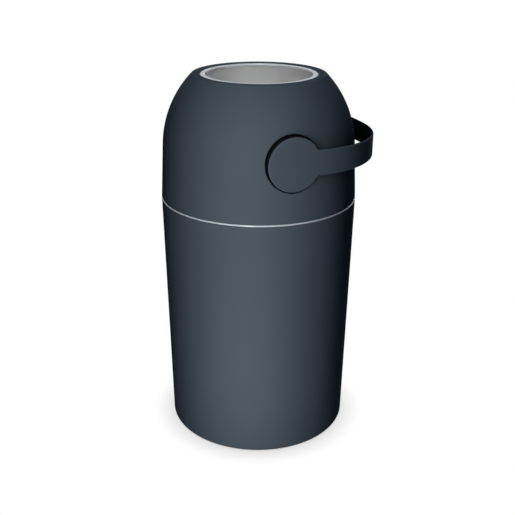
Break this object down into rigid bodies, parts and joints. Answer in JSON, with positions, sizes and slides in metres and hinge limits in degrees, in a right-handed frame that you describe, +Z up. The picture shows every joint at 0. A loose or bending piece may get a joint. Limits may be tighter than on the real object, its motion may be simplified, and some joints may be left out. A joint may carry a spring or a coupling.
{
  "type": "nappy bin",
  "caption": "Round nappy bin with a domed hinged head, a drum that its bow handle turns over, and a weighted piston that pushes the nappy out of the drum.",
  "frame": {"origin": "centre of the bin's underside, on the floor", "axes": "+Z up; X along the drum's axis with the visible handle disc on +X; +Y to the back, where the hinge is and where the handle rests"},
  "size_m": [0.28, 0.2995, 0.5298],
  "materials": {
    "dark_plastic": "fine matte moulded, dark blue-grey",
    "pale_plastic": "satin moulded, light grey",
    "bearing_plastic": "plain natural",
    "rubber": "matte black",
    "steel": "zinc-plated"
  },
  "bodies": {
    "bin": {"bin_body": "dark_plastic", "bag_ring": "pale_plastic", "hinge_bracket": "dark_plastic", "bracket_screw_1": "steel", "bracket_screw_2": "steel", "hinge_pin": "steel", "catch_spring": "steel"},
    "head": {"head_shell": "dark_plastic", "head_frame": "dark_plastic", "frame_screw_1": "steel", "frame_screw_2": "steel", "frame_screw_3": "steel", "frame_screw_4": "steel", "frame_screw_5": "steel", "frame_screw_6": "steel", "upper_seal": "rubber", "chute_seal": "rubber", "left_bush": "bearing_plastic", "right_bush": "bearing_plastic"},
    "drum": {"drum_half_upper": "pale_plastic", "drum_half_lower": "pale_plastic", "well_tube": "pale_plastic", "handle": "dark_plastic", "left_hub": "dark_plastic", "right_hub": "dark_plastic", "left_hub_screw": "steel", "right_hub_screw": "steel", "left_hub_nut": "steel", "right_hub_nut": "steel"},
    "piston": {"piston_cup_lower": "pale_plastic", "piston_cup_upper": "pale_plastic", "piston_weight": "steel", "piston_wiper": "rubber", "piston_screw_1": "steel", "piston_screw_2": "steel", "piston_screw_3": "steel"}
  },
  "joints": [
    {"name": "head_hinge", "type": "hinge", "parent": "bin", "child": "head", "pos_m": [0, 0.137, 0.3558], "axis": [-1, 0, 0], "range_deg": [0, 70], "deforming": ["catch_spring"]},
    {"name": "handle_flip", "type": "hinge", "parent": "head", "child": "drum", "pos_m": [0, 0, 0.4355], "axis": [1, 0, 0], "range_deg": [0, 180]},
    {"name": "piston_slide", "type": "slide", "parent": "drum", "child": "piston", "axis": [0, 0, 1], "range_m": [0, 0.1554]}
  ]
}
